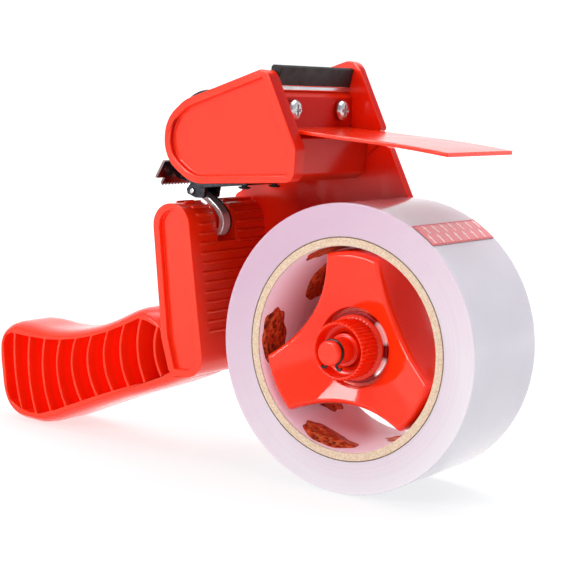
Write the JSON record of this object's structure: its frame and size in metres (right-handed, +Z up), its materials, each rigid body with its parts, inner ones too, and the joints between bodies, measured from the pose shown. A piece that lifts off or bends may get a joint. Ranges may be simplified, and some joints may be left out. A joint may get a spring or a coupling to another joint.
{
  "type": "packing tape dispenser gun",
  "caption": "Hand-held packing tape dispenser gun with a ribbed pistol-grip handle, side-loading tape roll on a three-lobed hub, tension knob, rubber roller and toothed cutting blade.",
  "frame": {"origin": "middle of the footprint at the surface the dispenser stands on, below the column", "axes": "+X from the handle towards the tape roll, +Y along the roll axle away from the open loading side, +Z up; it stands on the roll rim and the heel of the handle"},
  "size_m": [0.2276, 0.0698, 0.1581],
  "materials": {
    "red_plastic": "glossy",
    "black_rubber": "matt",
    "black_plastic": "matt",
    "steel": "satin",
    "dark_steel": "semi-gloss",
    "chrome": "polished",
    "cardboard": "fibrous",
    "clear_tape": "glossy, milky",
    "tab_film": "glossy"
  },
  "bodies": {
    "frame": {"frame": "red_plastic", "head_shell": "red_plastic", "wiper_flap": "red_plastic", "flap_screw_near": "steel", "flap_screw_far": "steel", "guide_bar": "black_rubber", "guide_strip": "steel", "roller_axle": "steel", "blade": "steel", "blade_rivet_near": "steel", "blade_rivet_far": "steel", "lever_bracket": "dark_steel", "bracket_screw_near": "steel", "bracket_screw_far": "steel", "lever_pin": "steel", "spindle_post": "red_plastic", "retaining_clip": "steel", "spindle_screw": "steel", "spindle_washer": "steel", "head_screw_front": "steel", "head_screw_rear": "steel", "brake_washer": "black_rubber", "tension_spring": "steel"},
    "roller": {"roller_sleeve": "black_rubber", "roller_spool": "black_plastic"},
    "hub": {"hub_wheel": "red_plastic"},
    "roll": {"tape_core": "cardboard", "tape_winding": "clear_tape", "starter_tab": "tab_film"},
    "washer": {"pressure_washer": "chrome"},
    "knob": {"tension_knob": "red_plastic"},
    "lever": {"catch_lever": "dark_steel"}
  },
  "joints": [
    {"name": "roller_spin", "type": "hinge", "parent": "frame", "child": "roller", "pos_m": [-0.00789, 0.00085, 0.1291], "axis": [0, 1, 0], "continuous": true},
    {"name": "hub_spin", "type": "hinge", "parent": "frame", "child": "hub", "pos_m": [0.06011, 0.00085, 0.0537], "axis": [0, 1, 0], "continuous": true},
    {"name": "roll_off", "type": "slide", "parent": "hub", "child": "roll", "axis": [0, -1, 0], "range_m": [0, 0.065]},
    {"name": "knob_travel", "type": "slide", "parent": "frame", "child": "washer", "axis": [0, -1, 0], "range_m": [0, 0.003]},
    {"name": "knob_turn", "type": "hinge", "parent": "washer", "child": "knob", "pos_m": [0.06011, -0.02215, 0.0537], "axis": [0, -1, 0], "range_deg": [0, 720]},
    {"name": "lever_swing", "type": "hinge", "parent": "frame", "child": "lever", "pos_m": [-0.02489, -0.00285, 0.1037], "axis": [0, -1, 0], "range_deg": [-7, 8], "stiffness_Nm_per_rad": 0.05}
  ],
  "couplings": [
    {"joint": "knob_travel", "follows": "knob_turn", "m_per_rad": 0.00023873}
  ]
}
